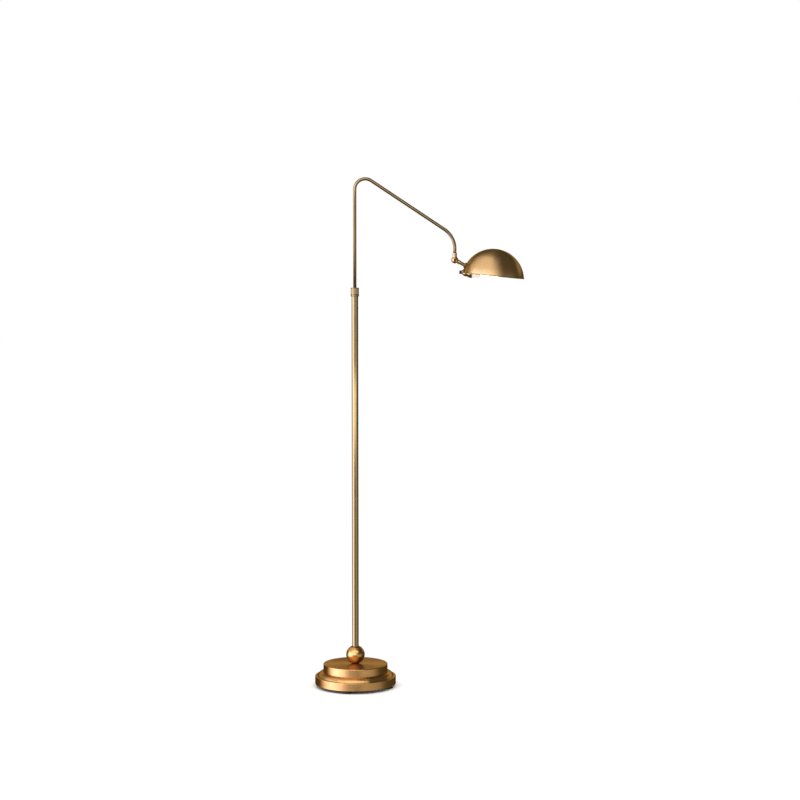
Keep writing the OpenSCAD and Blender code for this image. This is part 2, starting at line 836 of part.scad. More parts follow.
module knuckle_nut() {
    color(brass)
        translate([arm_reach, screw_seat_y + thrust_gap, knuckle_z])
            rotate([-90, 0, 0])
                difference() {
                    cylinder(r = knuckle_screw_d - 0.4, h = knuckle_nut_h);
                    translate([0, 0, -cut])
                        cylinder(r = knuckle_screw_d / 2 + fixed_fit, h = knuckle_nut_h + 2 * cut);
                    for (a = [0 : 30 : 330])
                        rotate([0, 0, a])
                            translate([knuckle_screw_d, 0, 1])
                                cylinder(r = 0.6, h = knuckle_nut_h, $fn = 24);
                }
}

// Everything beyond the knuckle is drawn level, from the knuckle's centre, and then tilted
module on_head() {
    translate([arm_reach, 0, knuckle_z])
        rotate([0, rest_tilt, 0])
            children();
}

// Along the neck, its distance measured from the knuckle's centre
module along_neck(d) {
    rotate([0, 90 + neck_drop, 0]) translate([0, 0, d]) children();
}

// Along the cup's axis, its distance measured from the cup's rear
module along_cup(d) {
    translate([cup_x, 0, cup_z]) rotate([0, 90 - cup_rise, 0]) translate([0, 0, d]) children();
}

module knuckle_rear() {
    color(brass)
        on_head()
            difference() {
                union() {
                    half_ball(1);
                    along_neck(knuckle_r + pass_gap) cylinder(r = neck_d / 2 + 1.1, h = boss_len);
                    intersection() {
                        along_neck(knuckle_r - knuckle_wall)
                            cylinder(r = neck_d / 2 + 1.1, h = knuckle_wall + 1);
                        translate([0, half_gap, -knuckle_d]) cube([knuckle_d, knuckle_d, 2 * knuckle_d]);
                    }
                }
                half_ball_cuts(1, running_fit, knuckle_screw_d);
                along_neck(neck_start) cylinder(r = neck_d / 2 + fixed_fit, h = boss_len + 2);
                along_neck(knuckle_r - knuckle_wall - cut)
                    cylinder(d = neck_bore_d - 1, h = knuckle_wall + 4);
            }
}

module neck_tube() {
    color(brass)
        on_head()
            along_neck(neck_start + 0.05)
                difference() {
                    cylinder(d = neck_d, h = neck_end - neck_start - 0.1);
                    translate([0, 0, -cut]) cylinder(d = neck_bore_d, h = neck_end);
                }
}

module neck_lead() {
    color(white)
        on_head()
            along_neck(neck_start + 1) cylinder(d = neck_lead_d, h = neck_end - neck_start - 1.3);
}

module saddle_washer() {
    color(brass)
        on_head()
            difference() {
                along_neck(neck_shown - saddle_t) cylinder(d = saddle_d, h = saddle_t + 2);
                along_neck(0) cylinder(r = neck_d / 2 + fixed_fit, h = neck_reach);
                translate([shade_x, 0, shade_z]) sphere(r = shade_r + fixed_fit, $fn = 360);
            }
}

// The cup's outer form, grown by g: a dome with a flat at its rear, a flare and a short cylinder
module cup_form(g, len) {
    steps = 8;
    r0 = cup_rear_r + g;
    r1 = cup_front_r + g;
    rotate_extrude() {
        intersection() {
            translate([0, cup_dome_at]) circle(r = r0);
            translate([0, -g]) square([r0, cup_dome_at + g]);
        }
        polygon(concat(
            [[0, cup_dome_at]],
            [for (i = [0 : steps])
                [r0 + (r1 - r0) * (1 - cos(180 * i / steps)) / 2,
                 cup_dome_at + (cup_flare_len - cup_dome_at) * i / steps]],
            [[r1, len], [0, len]]));
    }
}

module shade() {
    color(brass)
        on_head()
            difference() {
                translate([shade_x, 0, shade_z]) {
                    intersection() {
                        difference() {
                            sphere(r = shade_r, $fn = 240);
                            sphere(r = shade_r - shade_wall, $fn = 240);
                        }
                        translate([0, 0, rim_up]) cylinder(r = 2 * shade_r, h = shade_r);
                    }
                    translate([0, 0, rim_up])
                        rotate_extrude() translate([rim_r - shade_wall / 2, 0]) circle(r = rim_bead_r);
                }
                along_neck(neck_shown - 4) cylinder(r = neck_d / 2 + 0.15, h = 10);
                along_cup(0) cup_form(pass_gap, cup_len);
            }
}

module socket_cup() {
    color(brass)
        on_head()
            difference() {
                union() {
                    along_cup(0) cup_form(0, cup_len);
                    along_cup(cup_len - 1)
                        rotate_extrude() translate([cup_front_r - 0.6, 0]) circle(r = 1);
                    intersection() {
                        along_neck(neck_at_inside - 3) cylinder(d = cup_boss_d, h = cup_boss_len + 3);
                        translate([shade_x, 0, shade_z])
                            sphere(r = shade_r - shade_wall - fixed_fit, $fn = 240);
                    }
                }
                difference() {
                    along_cup(0) cup_form(-cup_wall, cup_len + cut);
                    along_cup(lug_at)
                        for (s = [0, 1])
                            mirror([0, s, 0])
                                translate([-lug_w / 2, switch_d / 2 + 0.3, 0])
                                    cube([lug_w, cup_front_r, lug_w]);
                }
                along_cup(cup_wall) cylinder(r = switch_d / 2 + 0.1, h = cup_dome_at);
                along_cup(-cut)
                    cylinder(r = switch_bush_d / 2 + fixed_fit, h = cup_wall + 2 * cut);
                along_neck(neck_at_inside - 4)
                    cylinder(r = neck_d / 2 + fixed_fit, h = neck_spigot_len + 4);
                along_neck(neck_at_inside) cylinder(d = neck_bore_d, h = cup_boss_len + 3);
                along_cup(lug_at - cut)
                    for (s = [0, 1])
                        mirror([0, s, 0])
                            translate([0, holder_screw_y, 0])
                                cylinder(r = holder_screw_r + fixed_fit, h = lug_w + 2 * cut);
            }
}

module lampholder() {
    color(white)
        on_head()
            along_cup(holder_at)
                difference() {
                    union() {
                        cylinder(r = holder_foot_r, h = holder_floor);
                        translate([0, 0, holder_step])
                            cylinder(r = holder_r, h = holder_len - holder_step);
                    }
                    translate([0, 0, holder_floor]) cylinder(r = shell_out_r + fixed_fit, h = holder_len);
                    translate([0, 0, -cut]) cylinder(r = 2, h = holder_floor + 2 * cut);
                    for (s = [0, 1])
                        mirror([0, s, 0])
                            translate([0, holder_screw_y, -cut])
                                cylinder(r = holder_screw_r + fixed_fit, h = holder_floor + 2 * cut);
                }
}

module holder_screws() {
    color(steel)
        on_head()
            along_cup(0)
                for (s = [0, 1])
                    mirror([0, s, 0])
                        translate([0, holder_screw_y, 0]) {
                            translate([0, 0, lug_at + 0.5])
                                cylinder(r = holder_screw_r, h = holder_at + holder_floor - lug_at - 0.5);
                            translate([0, 0, holder_at + holder_floor]) cylinder(r = 2.6, h = 1.6);
                        }
}

module screw_shell() {
    color(brass)
        on_head()
            along_cup(0)
                tube(shell_out_r, shell_in_r, holder_at + holder_floor, holder_at + holder_len - 1);
}

module centre_contact() {
    color(brass)
        on_head()
            along_cup(holder_at) {
                translate([0, 0, holder_floor]) cylinder(r = 3.2, h = contact_h);
                cylinder(r = 1.9, h = holder_floor + 0.5);
            }
}

module bulb_contact() {
    color(steel) on_head() along_cup(bulb_contact_at) cylinder(r = 3.6, h = bulb_contact_h);
}

module bulb_cap() {
    color(steel)
        on_head()
            along_cup(bulb_cap_at)
                difference() {
                    union() {
                        cylinder(r1 = 6, r2 = bulb_cap_d / 2, h = 4);
                        translate([0, 0, 4]) cylinder(d = bulb_cap_d, h = bulb_cap_len - 4);
                    }
                    translate([0, 0, 4.5]) cylinder(r = glass_neck_r + fixed_fit, h = bulb_cap_len);
                    translate([0, 0, 1]) cylinder(r = 4, h = 4);
                }
}

// The bulb's outer form, drawn in by g
module glass_form(g) {
    steps = 8;
    rotate_extrude() {
        polygon(concat(
            [[0, -3.4], [glass_neck_r - g, -3.4]],
            [for (i = [0 : steps])
                [glass_neck_r - g + (bulb_r - glass_neck_r) * (1 - cos(180 * i / steps)) / 2,
                 4 + glass_shoulder * i / steps]],
            [[bulb_r - g, bulb_len - bulb_r], [0, bulb_len - bulb_r]]));
        intersection() {
            translate([0, bulb_len - bulb_r]) circle(r = bulb_r - g);
            translate([0, bulb_len - bulb_r - cut]) square([bulb_r, bulb_r + cut]);
        }
    }
}

module bulb_glass() {
    color(white)
        on_head()
            along_cup(glass_at)
                difference() {
                    glass_form(0);
                    glass_form(glass_t);
                    translate([0, 0, -4]) cylinder(r = glass_neck_r - glass_t, h = 3);
                }
}

module switch_body() {
    color(black)
        on_head()
            along_cup(0)
                difference() {
                    union() {
                        translate([0, 0, switch_at]) cylinder(d = switch_d, h = switch_len);
                        translate([0, 0, -bush_out])
                            cylinder(d = switch_bush_d, h = bush_out + switch_at + 1);
                    }
                    translate([0, 0, -bush_out - cut])
                        cylinder(r = shaft_d / 2 + running_fit, h = bush_out + switch_at + 8 + cut);
                }
}

module switch_ring_nut() {
    color(brass)
        on_head()
            along_cup(-ring_nut_h - 0.05)
                hex_nut(ring_nut_af, ring_nut_h, switch_bush_d / 2 + fixed_fit);
}

module switch_shaft() {
    color(steel)
        on_head()
            along_cup(-knob_at - knob_len + knob_face_t)
                cylinder(d = shaft_d, h = knob_len - knob_face_t + knob_at + switch_at + 6);
}

module switch_knob() {
    color(black)
        on_head()
            along_cup(-knob_at - knob_len)
                difference() {
                    rotate_extrude() disc_outline(knob_d / 2, 0, knob_len, 0.8);
                    translate([0, 0, knob_face_t])
                        cylinder(r = shaft_d / 2 + fixed_fit, h = knob_len);
                    for (a = [0 : 20 : 340])
                        rotate([0, 0, a])
                            translate([knob_d / 2 + knob_flute_out, 0, knob_rib_end])
                                cylinder(r = knob_flute_r, h = knob_len - 2 * knob_rib_end, $fn = 24);
                }
}

base_cover();
base_weight();
bottom_plate();
foot_pads();
plate_screws();
cord_bush();
terminal_block();
terminal_screw();
base_lead();
threaded_stem();
stem_nut();
stem_washer();
base_ball();
pole_plug();
lower_pole();
pole_lead();
clutch_body();
collet_ring();
clutch_nut();
riser_glide();
arm_tube();
riser_foot_ring();
riser_stop_ring();
arm_lead();
arm_ferrule();
swivel_bush();
knuckle_front();
spindle_clip();
friction_washer();
knuckle_screw();
knuckle_nut();
knuckle_rear();
neck_tube();
neck_lead();
saddle_washer();
shade();
socket_cup();
lampholder();
holder_screws();
screw_shell();
centre_contact();
bulb_cap();
bulb_contact();
bulb_glass();
switch_body();
switch_ring_nut();
switch_shaft();
switch_knob();
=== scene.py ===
"""Looks of a swing arm floor lamp in brushed antique brass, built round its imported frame."""

import json
import math

import bpy
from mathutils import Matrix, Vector


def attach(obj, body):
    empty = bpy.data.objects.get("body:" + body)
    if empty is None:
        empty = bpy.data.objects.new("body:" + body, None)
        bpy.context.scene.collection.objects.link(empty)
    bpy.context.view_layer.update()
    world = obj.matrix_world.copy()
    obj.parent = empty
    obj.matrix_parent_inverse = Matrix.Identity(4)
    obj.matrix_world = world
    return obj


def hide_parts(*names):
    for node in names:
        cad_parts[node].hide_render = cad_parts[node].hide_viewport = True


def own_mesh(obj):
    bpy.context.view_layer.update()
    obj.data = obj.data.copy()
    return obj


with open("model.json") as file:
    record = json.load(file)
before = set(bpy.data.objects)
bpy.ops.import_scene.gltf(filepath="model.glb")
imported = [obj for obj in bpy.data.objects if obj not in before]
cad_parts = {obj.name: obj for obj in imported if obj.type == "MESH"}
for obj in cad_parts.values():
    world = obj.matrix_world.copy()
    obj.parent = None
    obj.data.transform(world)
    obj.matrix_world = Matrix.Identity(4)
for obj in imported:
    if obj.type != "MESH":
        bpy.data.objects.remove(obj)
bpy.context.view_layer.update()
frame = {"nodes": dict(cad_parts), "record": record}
NODES = frame["nodes"]
SLOT_OF = {part["node"]: part["material_slot"] for part in frame["record"]["subparts"]}
JOINTS = {joint["name"]: joint for joint in frame["record"]["behaviour"]["joints"]}


# Camera: the photograph's view, its height and distance fitted to the lamp's outlines
CAMERA_AT = Vector((0.129, -5.9, 1.29586))
CAMERA_AIM = Vector((0.129, 0.0, 0.83186))
FOCAL_MM = 92.8
SENSOR_MM = 36.0


def make_camera():
    """The photograph's long lens, at about the shade's height."""
    data = bpy.data.cameras.new("camera")
    data.lens = FOCAL_MM
    data.sensor_width = SENSOR_MM
    data.clip_start = 0.1
    data.clip_end = 100
    camera = bpy.data.objects.new("camera", data)
    camera.location = CAMERA_AT
    camera.rotation_mode = "QUATERNION"
    camera.rotation_quaternion = (CAMERA_AIM - CAMERA_AT).to_track_quat("-Z", "Y")
    bpy.context.scene.collection.objects.link(camera)
    bpy.context.scene.camera = camera


class Nodes:
    """Short calls that add shader nodes to one tree."""

    def __init__(self, tree):
        self.tree = tree
        tree.nodes.clear()

    def add(self, kind, **settings):
        node = self.tree.nodes.new(kind)
        for name, value in settings.items():
            setattr(node, name, value)
        return node

    def link(self, out, into):
        """Link an output into a socket, or set the socket to a number, vector or colour."""
        if isinstance(out, (int, float)):
            into.default_value = out
        elif isinstance(out, tuple):
            into.default_value = out if len(out) == 3 and into.type == "VECTOR" else (*out, 1)[:4]
        else:
            self.tree.links.new(out, into)

    def math(self, operation, *values):
        node = self.add("ShaderNodeMath", operation=operation)
        for value, socket in zip(values, node.inputs):
            self.link(value, socket)
        return node.outputs[0]

    def vector_math(self, operation, *values):
        node = self.add("ShaderNodeVectorMath", operation=operation)
        for value, socket in zip(values, node.inputs):
            self.link(value, socket)
        return node.outputs[0]

    def radius(self, x, y):
        """Distance of (x, y) from the axis."""
        squares = self.math("ADD", self.math("MULTIPLY", x, x), self.math("MULTIPLY", y, y))
        return self.math("SQRT", squares)

    def split(self, vector):
        node = self.add("ShaderNodeSeparateXYZ")
        self.link(vector, node.inputs[0])
        return node.outputs[0], node.outputs[1], node.outputs[2]

    def join(self, x, y, z):
        node = self.add("ShaderNodeCombineXYZ")
        for value, socket in zip((x, y, z), node.inputs):
            self.link(value, socket)
        return node.outputs[0]

    def smooth(self, value, low, high, to_low=0.0, to_high=1.0):
        """Smooth step from to_low to to_high while value goes from low to high."""
        node = self.add("ShaderNodeMapRange", interpolation_type="SMOOTHSTEP")
        for number, socket in zip((value, low, high, to_low, to_high), node.inputs):
            self.link(number, socket)
        return node.outputs[0]

    def noise(self, vector, scale, detail=2.0, roughness=0.5):
        node = self.add("ShaderNodeTexNoise")
        self.link(vector, node.inputs["Vector"])
        node.inputs["Scale"].default_value = scale
        node.inputs["Detail"].default_value = detail
        node.inputs["Roughness"].default_value = roughness
        return node.outputs["Fac"]

    def mix(self, factor, a, b):
        node = self.add("ShaderNodeMix", data_type="RGBA")
        self.link(factor, node.inputs[0])
        self.link(a, node.inputs[6])
        self.link(b, node.inputs[7])
        return node.outputs[2]

    def bump(self, height, strength, distance):
        node = self.add("ShaderNodeBump")
        node.inputs["Strength"].default_value = strength
        node.inputs["Distance"].default_value = distance
        self.link(height, node.inputs["Height"])
        return node.outputs[0]


# World: gloss sees softboxes as patches of azimuth and height, diffuse light is even, and the
# camera sees white. Azimuth 0 is the camera's side, negative to its left, 180 the backdrop.
EVEN_LEVEL = 1.0
DARK_LEVEL = 0.10
# Name: middle azimuth, the four azimuths from it where the patch starts, is full, starts to fall
# and ends, the same four heights, level
SOFTBOXES = {
    "key": (-70, (-55, -5, 8, 56), (-48, -22, -2, 8), 3.15),
    "front": (0, (-60, -20, 60, 120), (-70, -40, 0, 12), 0.16),
    "side": (40, (-36, -6, 8, 60), (-60, -30, 0, 12), 0.50),
    "strip": (-50, (-70, -25, 30, 92), (-4, 8, 18, 33), 3.4),
    "upper": (-75, (-85, -35, 50, 125), (16, 36, 90, 91), 1.0),
    "backdrop": (180, (-75, -45, 45, 75), (6, 11, 18, 30), 0.55),
}
WARM_WHITE = (1.0, 0.97, 0.90)
# The dimmest surroundings are warmer, and the middles of the brightest boxes whiter, each with the
# two levels between which its hue changes
DIM_WARM = (1.0, 0.95, 0.65)
DIM_LEVELS = (0.1, 0.45)
KEY_WHITE = (0.93, 0.98, 1.30)
KEY_LEVELS = (1.0, 3.0)


def softbox(n, azimuth, height, middle, across, up, level):
    """What one softbox adds to the light from a direction."""
    away = n.math("WRAP", n.math("SUBTRACT", azimuth, float(middle)), 180.0, -180.0)
    light = level
    for value, (start, full, falls, end) in ((away, across), (height, up)):
        light = n.math("MULTIPLY", light, n.smooth(value, start, full))
        light = n.math("MULTIPLY", light, n.smooth(value, falls, end, 1.0, 0.0))
    return light


def make_world():
    """The softboxes for gloss and glass, even light for the rest, white for the camera."""
    world = bpy.data.worlds.new("studio")
    bpy.context.scene.world = world
    world.use_nodes = True
    n = Nodes(world.node_tree)
    x, y, z = n.split(n.add("ShaderNodeTexCoord").outputs["Generated"])
    degrees = 180 / math.pi
    azimuth = n.math("MULTIPLY", n.math("ARCTAN2", x, n.math("MULTIPLY", y, -1.0)), degrees)
    height = n.math("MULTIPLY", n.math("ARCSINE", z), degrees)
    light = DARK_LEVEL
    for box in SOFTBOXES.values():
        light = n.math("ADD", softbox(n, azimuth, height, *box), light)

    gloss = n.add("ShaderNodeBackground")
    hue = n.mix(n.smooth(light, *DIM_LEVELS), (*DIM_WARM, 1), (*WARM_WHITE, 1))
    n.link(n.mix(n.smooth(light, *KEY_LEVELS), hue, (*KEY_WHITE, 1)), gloss.inputs["Color"])
    n.link(light, gloss.inputs["Strength"])
    even = n.add("ShaderNodeBackground")
    even.inputs["Color"].default_value = (1, 1, 1, 1)
    even.inputs["Strength"].default_value = EVEN_LEVEL
    white = n.add("ShaderNodeBackground")
    white.inputs["Color"].default_value = (1, 1, 1, 1)
    path = n.add("ShaderNodeLightPath")
    mirror = n.math("MAXIMUM", path.outputs["Is Glossy Ray"], path.outputs["Is Transmission Ray"])
    lit = n.add("ShaderNodeMixShader")
    n.link(mirror, lit.inputs[0])
    n.link(even.outputs[0], lit.inputs[1])
    n.link(gloss.outputs[0], lit.inputs[2])
    seen = n.add("ShaderNodeMixShader")
    n.link(path.outputs["Is Camera Ray"], seen.inputs[0])
    n.link(lit.outputs[0], seen.inputs[1])
    n.link(white.outputs[0], seen.inputs[2])
    n.link(seen.outputs[0], n.add("ShaderNodeOutputWorld").inputs["Surface"])


FLOOR_SIDE = 40.0
# Share of the floor's look that is plain white, over its own lit and shaded paper, away from the
# base, and the radii between which that share comes in
FLOOR_GLOW = 0.6
SHADE_RADII = (0.115, 0.17)
PAPER_TONE = (0.97, 0.97, 0.97, 1)
GLOW_LEVEL = 1.03


def make_floor():
    """A pale floor that keeps the lamp's soft shadow, and is clear from below."""
    mesh = bpy.data.meshes.new("floor")
    half = FLOOR_SIDE / 2
    corners = [(-half, -half, 0), (half, -half, 0), (half, half, 0), (-half, half, 0)]
    mesh.from_pydata(corners, [], [(0, 1, 2, 3)])
    floor = bpy.data.objects.new("floor", mesh)
    bpy.context.scene.collection.objects.link(floor)
    floor.visible_glossy = False
    material = bpy.data.materials.new("pale_floor")
    material.use_nodes = True
    n = Nodes(material.node_tree)
    x, y, _ = n.split(n.add("ShaderNodeTexCoord").outputs["Object"])
    share = n.smooth(n.radius(x, y), *SHADE_RADII, 0.0, FLOOR_GLOW)
    paper = n.add("ShaderNodeBsdfDiffuse")
    paper.inputs["Color"].default_value = PAPER_TONE
    glow = n.add("ShaderNodeEmission")
    glow.inputs["Color"].default_value = (1, 1, 1, 1)
    glow.inputs["Strength"].default_value = GLOW_LEVEL
    path = n.add("ShaderNodeLightPath")
    seen = n.math("MAXIMUM", path.outputs["Is Camera Ray"], path.outputs["Is Glossy Ray"])
    seen = n.math("MAXIMUM", seen, path.outputs["Is Transmission Ray"])
    mixed = n.add("ShaderNodeMixShader")
    n.link(n.math("MULTIPLY", seen, share), mixed.inputs[0])
    n.link(paper.outputs[0], mixed.inputs[1])
    n.link(glow.outputs[0], mixed.inputs[2])
    clear = n.add("ShaderNodeBsdfTransparent")
    faced = n.add("ShaderNodeMixShader")
    n.link(n.add("ShaderNodeNewGeometry").outputs["Backfacing"], faced.inputs[0])
    n.link(mixed.outputs[0], faced.inputs[1])
    n.link(clear.outputs[0], faced.inputs[2])
    n.link(faced.outputs[0], n.add("ShaderNodeOutputMaterial").inputs["Surface"])
    mesh.materials.append(material)


def make_lamp(name, at, aim, wide, tall, radiance):
    """A rectangular softbox of a plain radiance, where 1 is white."""
    data = bpy.data.lights.new(name, "AREA")
    data.shape = "RECTANGLE"
    data.size = wide
    data.size_y = tall
    data.energy = math.pi * wide * tall * radiance
    data.color = WARM_WHITE
    lamp = bpy.data.objects.new(name, data)
    lamp.location = at
    lamp.rotation_mode = "QUATERNION"
    lamp.rotation_quaternion = (aim - at).to_track_quat("-Z", "Y")
    lamp.visible_camera = False
    bpy.context.scene.collection.objects.link(lamp)


# The shade's tilt at rest, the neck's slope down from the knuckle, and the joints' places
TILT = math.radians(6)
SHADE_AXIS = (math.sin(TILT), 0, math.cos(TILT))
NECK_SLOPE = math.radians(21.7) + TILT
NECK_AXIS = Vector((math.cos(NECK_SLOPE), 0, -math.sin(NECK_SLOPE)))
NECK_REACH = 0.1227
KNUCKLE_AT = Vector(JOINTS["shade_tilt"]["pos_m"])
ARM_END_AT = Vector(JOINTS["knuckle_turn"]["pos_m"])
CUP_AT = Vector(JOINTS["knob_turn"]["pos_m"])
HEAD_AT = KNUCKLE_AT + NECK_REACH * NECK_AXIS
BASE_AT = Vector((-0.02, -0.06, 0.05))


def make_lamps():
    """A softbox before the shade, one over it, and one over the front of the base."""
    front_at = HEAD_AT + Vector((-0.25, -1.25, 0.55))
    over_at = HEAD_AT + Vector((-0.25, -0.45, 1.35))
    low_at = Vector((-0.08, -0.62, 0.74))
    make_lamp("front_box", front_at, HEAD_AT, wide=1.5, tall=0.9, radiance=0.25)
    make_lamp("over_box", over_at, HEAD_AT, wide=1.5, tall=1.3, radiance=0.2)
    make_lamp("base_box", low_at, BASE_AT, wide=1.5, tall=0.4, radiance=1.8)


def principled(n, normal=None, **inputs):
    """A principled shader. Its inputs' names have underscores for spaces."""
    shader = n.add("ShaderNodeBsdfPrincipled")
    for name, value in inputs.items():
        n.link(value, shader.inputs[name.replace("_", " ")])
    if normal is not None:
        n.link(normal, shader.inputs["Normal"])
    return shader


def new_material(name, build):
    """A material with the shader that build makes from its nodes."""
    material = bpy.data.materials.new(name)
    material.use_nodes = True
    n = Nodes(material.node_tree)
    shader = build(n)
    n.link(shader.outputs[0], n.add("ShaderNodeOutputMaterial").inputs["Surface"])
    return material


# Mid, pale and tarnished tone of the brass, and its tint at grazing angles
GOLD = ((0.60, 0.34, 0.13), (0.66, 0.40, 0.17), (0.50, 0.27, 0.10), (0.85, 0.60, 0.36))
STRAW = ((0.60, 0.38, 0.18), (0.66, 0.43, 0.22), (0.50, 0.31, 0.14), (0.50, 0.38, 0.22))
# Khaki brass for the pole and the collar, darker than the base's brass: that darkness is painted shade
KHAKI_PAINTED_SHADE = ((0.36, 0.255, 0.125), (0.41, 0.29, 0.15), (0.30, 0.205, 0.09), (0.45, 0.34, 0.20))
# Dark brass for the arm tube and the neck, much darker than the base's brass: that darkness is painted
# shade
DARK_PAINTED_SHADE = ((0.30, 0.20, 0.09), (0.38, 0.26, 0.12), (0.22, 0.14, 0.06), (0.45, 0.33, 0.18))
# Waves of the brass's clouds of tarnish and rubbed patches in a metre, brush lines of spun and
# drawn brass in a metre, how far lines run round their axis, and how high the brush lines stand
CLOUD_SCALE = 14.0
PATCH_SCALE = 60.0
SPIN_GRAIN = 2200.0
SPIN_RUN = 1.6
DRAWN_GRAIN = 40.0
DRAWN_RUN = 18.0
BRUSH_HEIGHT = 0.0001
# The brush lines' share in the ageing, which otherwise follows the clouds, the levels of both between
# which the brass comes clean, the levels of the patches between which it is rubbed pale, and how pale
STREAK_SHARE = 0.3
CLEAN_LEVELS = (0.34, 0.62)
RUBBED_LEVELS = (0.5, 0.85)
RUBBED_SHARE = 0.4
# Roughness that the clouds add or take away, the levels between which they do, and what a line adds
CLOUD_ROUGH = 0.03
CLOUD_LEVELS = (0.3, 0.7)
STREAK_ROUGH = 0.04


def circle(n, angle, size):
    """A point on a circle, so that noise has no seam where the angle starts again."""
    return [n.math("MULTIPLY", n.math(wave, angle), size) for wave in ("COSINE", "SINE")]


def brass_shader(n, place, streak, tangent, tones, rough, brush, depth, wear):
    """Brass with clouds of tarnish, patches rubbed pale, and brush lines by the streak."""
    mid, pale, tarnished, edge = tones
    cloud = n.noise(place, CLOUD_SCALE, 3.0, 0.55)
    patch = n.noise(place, PATCH_SCALE, 3.0, 0.55)
    lined = n.math("MULTIPLY", streak, STREAK_SHARE)
    tone = n.math("ADD", lined, n.math("MULTIPLY", cloud, 1 - STREAK_SHARE))
    aged = n.smooth(tone, *CLEAN_LEVELS, wear, 0.0)
    rubbed = n.smooth(patch, *RUBBED_LEVELS, 0.0, RUBBED_SHARE * wear)
    cloudy = n.smooth(cloud, *CLOUD_LEVELS, rough + CLOUD_ROUGH, rough - CLOUD_ROUGH)
    return principled(
        n,
        n.bump(streak, depth, BRUSH_HEIGHT),
        Base_Color=n.mix(rubbed, n.mix(aged, (*mid, 1), (*tarnished, 1)), (*pale, 1)),
        Metallic=1.0,
        Roughness=n.math("ADD", cloudy, n.math("MULTIPLY", streak, STREAK_ROUGH)),
        Specular_Tint=edge,
        Anisotropic=brush,
        Tangent=tangent,
    )


def brushed_brass(name, tones, axis_at, axis, rough, brush, depth=0.05, wear=0.5):
    """Antique brass, spun and brushed round the axis through axis_at."""
    upright = Vector(axis).normalized().rotation_difference(Vector((0, 0, 1))).to_matrix()

    def build(n):
        place = n.add("ShaderNodeTexCoord").outputs["Object"]
        own = n.vector_math("SUBTRACT", place, tuple(axis_at))
        turned = []
        for row in upright:
            dot = n.add("ShaderNodeVectorMath", operation="DOT_PRODUCT")
            n.link(own, dot.inputs[0])
            dot.inputs[1].default_value = row
            turned.append(dot.outputs["Value"])
        x, y, z = turned
        angle = n.math("ARCTAN2", y, x)
        along_x, along_y = circle(n, angle, SPIN_RUN)
        lines = n.join(
            n.math("ADD", along_x, n.math("MULTIPLY", n.radius(x, y), SPIN_GRAIN)),
            along_y,
            n.math("MULTIPLY", z, SPIN_GRAIN),
        )
        streak = n.noise(lines, 1.0, 3.0, 0.65)
        around = n.vector_math("CROSS_PRODUCT", tuple(Vector(axis).normalized()), own)
        to_world = n.add("ShaderNodeVectorTransform", vector_type="VECTOR")
        to_world.convert_from = "OBJECT"
        to_world.convert_to = "WORLD"
        n.link(around, to_world.inputs[0])
        surface = n.add("ShaderNodeNewGeometry").outputs["Normal"]
        across = n.vector_math("CROSS_PRODUCT", surface, to_world.outputs[0])
        tangent = n.vector_math("NORMALIZE", across)
        return brass_shader(n, place, streak, tangent, tones, rough, brush, depth, wear)

    return new_material(name, build)


def drawn_brass(name, tones, rough, brush, depth, wear):
    """Antique brass tube, polished lengthwise. Its UVs run round the tube and along it."""

    def build(n):
        place = n.add("ShaderNodeTexCoord").outputs["Object"]
        u, v, _ = n.split(n.add("ShaderNodeTexCoord").outputs["UV"])
        across_x, across_y = circle(n, n.math("MULTIPLY", u, 2 * math.pi), DRAWN_RUN)
        lines = n.join(across_x, across_y, n.math("MULTIPLY", v, DRAWN_GRAIN))
        streak = n.noise(lines, 1.0, 3.0, 0.65)
        tangent = n.add("ShaderNodeTangent", direction_type="UV_MAP").outputs[0]
        return brass_shader(n, place, streak, tangent, tones, rough, brush, depth, wear)

    return new_material(name, build)


def plain(name, colour, rough, metallic=0.0, grain=300.0, depth=0.00005, uneven=0.22):
    """A moulded, cast or plated surface with a fine grain and a slightly uneven tone."""

    def build(n):
        place = n.add("ShaderNodeTexCoord").outputs["Object"]
        fine = n.noise(place, grain, 4.0, 0.6)
        broad = n.noise(place, grain / 12, 2.0, 0.5)
        dark = tuple(c * (1 - uneven) for c in colour)
        return principled(
            n,
            n.bump(fine, 0.3, depth),
            Base_Color=n.mix(n.smooth(broad, 0.3, 0.7), (*dark, 1), (*colour, 1)),
            Metallic=metallic,
            Roughness=n.smooth(fine, 0.25, 0.75, rough - 0.05, rough + 0.06),
        )

    return new_material(name, build)


GLASS_GLOW = 3.0


def lit_glass():
    """Frosted glass of a lit bulb."""

    def build(n):
        place = n.add("ShaderNodeTexCoord").outputs["Object"]
        frost = n.noise(place, 900.0, 2.0)
        cloud = n.noise(place, 60.0, 2.0)
        tone = n.mix(n.smooth(cloud, 0.3, 0.7), (0.95, 0.84, 0.62, 1), (1.0, 0.93, 0.74, 1))
        return principled(
            n,
            n.bump(frost, 0.15, 0.00003),
            Base_Color=(0.5, 0.47, 0.4),
            Roughness=n.smooth(frost, 0.2, 0.8, 0.32, 0.46),
            Emission_Color=tone,
            Emission_Strength=GLASS_GLOW,
        )

    return new_material("lit_glass", build)


